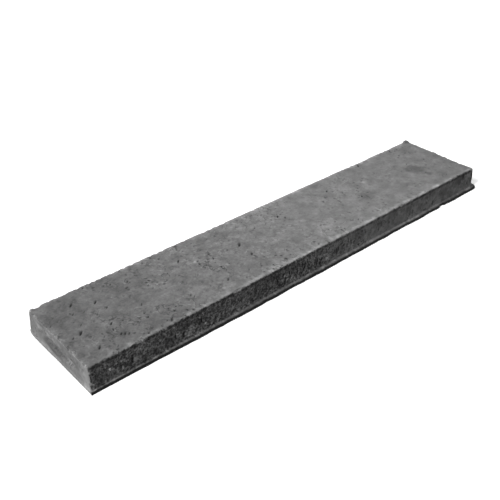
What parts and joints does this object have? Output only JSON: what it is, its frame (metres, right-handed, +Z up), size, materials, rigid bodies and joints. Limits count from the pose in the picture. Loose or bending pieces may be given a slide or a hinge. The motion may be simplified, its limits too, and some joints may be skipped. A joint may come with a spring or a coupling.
{
  "type": "concrete kerb stone",
  "caption": "Long flat dark-grey concrete edging kerb with sides that lean in a little towards the top, a blind lens-shaped groove in one end and a matching tongue on the other.",
  "frame": {"origin": "middle of the bed face that the stone lies on", "axes": "+X along the stone towards the end with the tongue, +Y across it towards the long side turned away from the viewer, +Z up"},
  "size_m": [1.0044, 0.1996, 0.05],
  "materials": {
    "concrete": "matt, fine-grained cast concrete with open pores"
  },
  "bodies": {
    "root": {"kerb_stone": "concrete"}
  },
  "joints": []
}
